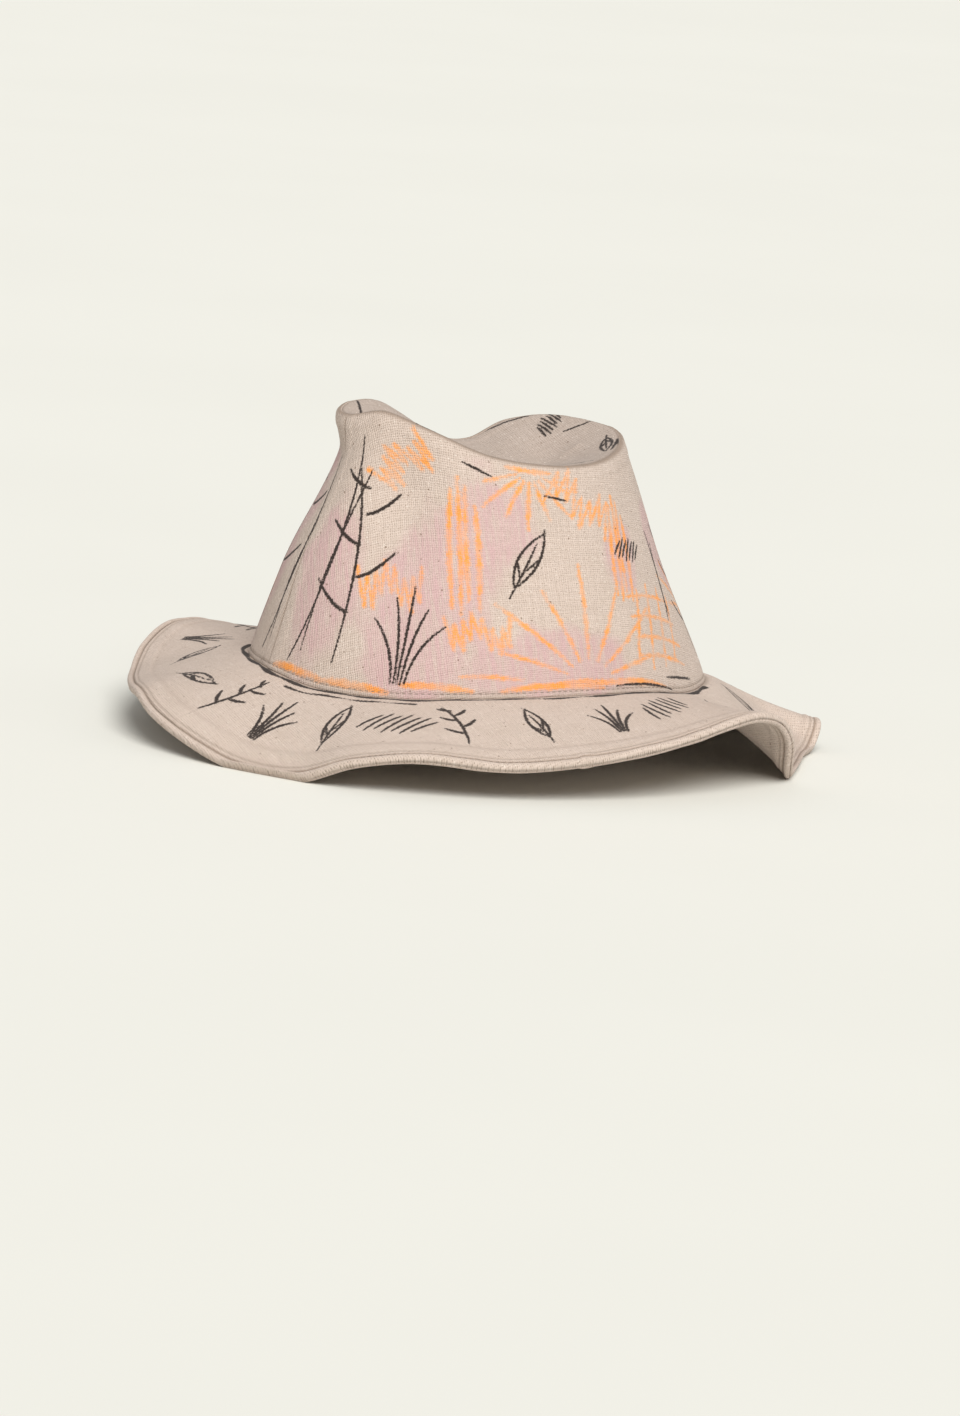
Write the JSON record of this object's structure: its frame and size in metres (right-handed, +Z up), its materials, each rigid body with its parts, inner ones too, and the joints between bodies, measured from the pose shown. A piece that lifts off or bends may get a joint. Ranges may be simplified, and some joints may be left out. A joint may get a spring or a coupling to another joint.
{
  "type": "canvas fedora hat",
  "caption": "Soft canvas fedora with a creased, pinched crown and a wide, floppy, wavy brim that rests on its low waves.",
  "frame": {"origin": "on the floor under the middle of the hat's box, with the hat resting on three low waves of its brim", "axes": "+Z up, -Y toward the front of the hat, +X toward the wearer's left"},
  "size_m": [0.2832, 0.3156, 0.147],
  "materials": {
    "canvas_left": "matt natural canvas with crayon and rubbed pink marks",
    "canvas_right": "matt natural canvas",
    "canvas_tip": "matt natural canvas",
    "canvas_brim": "matt natural canvas, topstitched at the edge",
    "canvas_facing": "matt natural canvas"
  },
  "bodies": {
    "root": {"crown_side_left": "canvas_left", "crown_side_right": "canvas_right", "crown_tip": "canvas_tip", "brim_top": "canvas_brim", "brim_facing": "canvas_facing"}
  },
  "joints": []
}
